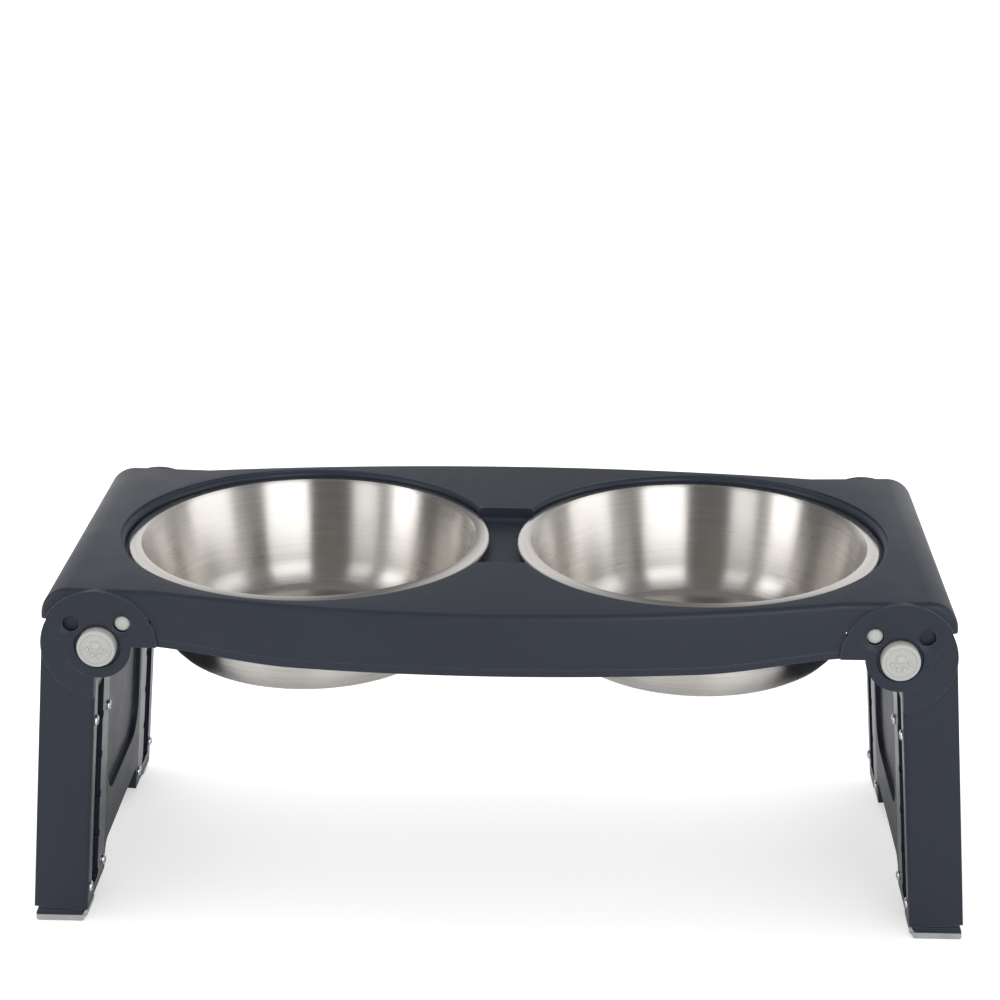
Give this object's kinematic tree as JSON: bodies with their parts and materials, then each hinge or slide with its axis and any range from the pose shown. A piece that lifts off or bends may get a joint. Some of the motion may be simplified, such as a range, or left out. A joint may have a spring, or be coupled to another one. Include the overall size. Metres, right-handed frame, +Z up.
{
  "type": "raised double pet feeder",
  "caption": "Raised pet feeder: a bowed tray with lift-out steel bowls on two folding side legs, with push-button hinges and telescoping posts on rubber feet.",
  "frame": {"origin": "centre of the bounding box at floor level, with the legs at their lowest height", "axes": "+X along the tray from the left bowl to the right one, -Y towards the viewer at the front, +Z up"},
  "size_m": [0.5306, 0.25, 0.2068],
  "materials": {
    "slate_plastic": "satin blue-grey moulded plastic with a fine grain",
    "grey_plastic": "satin light grey moulded plastic",
    "foot_rubber": "matt grey rubber",
    "stainless_steel": "brushed stainless steel with a polished rim",
    "zinc_steel": "bright zinc-plated steel"
  },
  "bodies": {
    "tray": {"tray": "slate_plastic"},
    "bowl_left": {"bowl_left": "stainless_steel"},
    "bowl_right": {"bowl_right": "stainless_steel"},
    "post_left_front": {"leg_post_left_front": "slate_plastic", "rubber_foot_left_front": "foot_rubber"},
    "button_left_front": {"release_button_left_front": "grey_plastic"},
    "post_left_rear": {"leg_post_left_rear": "slate_plastic", "rubber_foot_left_rear": "foot_rubber"},
    "button_left_rear": {"release_button_left_rear": "grey_plastic"},
    "leg_left": {"leg_frame_left": "slate_plastic", "rack_cover_left_front": "slate_plastic", "cover_screw_left_front_1": "zinc_steel", "cover_screw_left_front_2": "zinc_steel", "cover_screw_left_front_3": "zinc_steel", "cover_screw_left_front_4": "zinc_steel", "button_spring_left_front": "zinc_steel", "rack_cover_left_rear": "slate_plastic", "cover_screw_left_rear_1": "zinc_steel", "cover_screw_left_rear_2": "zinc_steel", "cover_screw_left_rear_3": "zinc_steel", "cover_screw_left_rear_4": "zinc_steel", "button_spring_left_rear": "zinc_steel"},
    "post_right_front": {"leg_post_right_front": "slate_plastic", "rubber_foot_right_front": "foot_rubber"},
    "button_right_front": {"release_button_right_front": "grey_plastic"},
    "post_right_rear": {"leg_post_right_rear": "slate_plastic", "rubber_foot_right_rear": "foot_rubber"},
    "button_right_rear": {"release_button_right_rear": "grey_plastic"},
    "leg_right": {"leg_frame_right": "slate_plastic", "rack_cover_right_front": "slate_plastic", "cover_screw_right_front_1": "zinc_steel", "cover_screw_right_front_2": "zinc_steel", "cover_screw_right_front_3": "zinc_steel", "cover_screw_right_front_4": "zinc_steel", "button_spring_right_front": "zinc_steel", "rack_cover_right_rear": "slate_plastic", "cover_screw_right_rear_1": "zinc_steel", "cover_screw_right_rear_2": "zinc_steel", "cover_screw_right_rear_3": "zinc_steel", "cover_screw_right_rear_4": "zinc_steel", "button_spring_right_rear": "zinc_steel"}
  },
  "joints": [
    {"name": "bowl_left_lift", "type": "slide", "parent": "tray", "child": "bowl_left", "axis": [0, 0, 1], "range_m": [0, 0.09]},
    {"name": "bowl_right_lift", "type": "slide", "parent": "tray", "child": "bowl_right", "axis": [0, 0, 1], "range_m": [0, 0.09]},
    {"name": "leg_left_fold", "type": "hinge", "parent": "tray", "child": "leg_left", "pos_m": [-0.22, 0, 0.1738], "axis": [0, 1, 0], "range_deg": [-45, 0]},
    {"name": "post_left_front_slide", "type": "slide", "parent": "leg_left", "child": "post_left_front", "axis": [-0.0854, 0, -0.9963], "range_m": [0, 0.127]},
    {"name": "button_left_front_press", "type": "slide", "parent": "leg_left", "child": "button_left_front", "axis": [0, 1, 0], "range_m": [0, 0.004], "stiffness_N_per_m": 500, "springref_m": -0.002, "deforming": ["button_spring_left_front"]},
    {"name": "post_left_rear_slide", "type": "slide", "parent": "leg_left", "child": "post_left_rear", "axis": [-0.0854, 0, -0.9963], "range_m": [0, 0.127]},
    {"name": "button_left_rear_press", "type": "slide", "parent": "leg_left", "child": "button_left_rear", "axis": [0, -1, 0], "range_m": [0, 0.004], "stiffness_N_per_m": 500, "springref_m": -0.002, "deforming": ["button_spring_left_rear"]},
    {"name": "leg_right_fold", "type": "hinge", "parent": "tray", "child": "leg_right", "pos_m": [0.22, 0, 0.1738], "axis": [0, 1, 0], "range_deg": [0, 45]},
    {"name": "post_right_front_slide", "type": "slide", "parent": "leg_right", "child": "post_right_front", "axis": [0.0854, 0, -0.9963], "range_m": [0, 0.127]},
    {"name": "button_right_front_press", "type": "slide", "parent": "leg_right", "child": "button_right_front", "axis": [0, 1, 0], "range_m": [0, 0.004], "stiffness_N_per_m": 500, "springref_m": -0.002, "deforming": ["button_spring_right_front"]},
    {"name": "post_right_rear_slide", "type": "slide", "parent": "leg_right", "child": "post_right_rear", "axis": [0.0854, 0, -0.9963], "range_m": [0, 0.127]},
    {"name": "button_right_rear_press", "type": "slide", "parent": "leg_right", "child": "button_right_rear", "axis": [0, -1, 0], "range_m": [0, 0.004], "stiffness_N_per_m": 500, "springref_m": -0.002, "deforming": ["button_spring_right_rear"]}
  ]
}
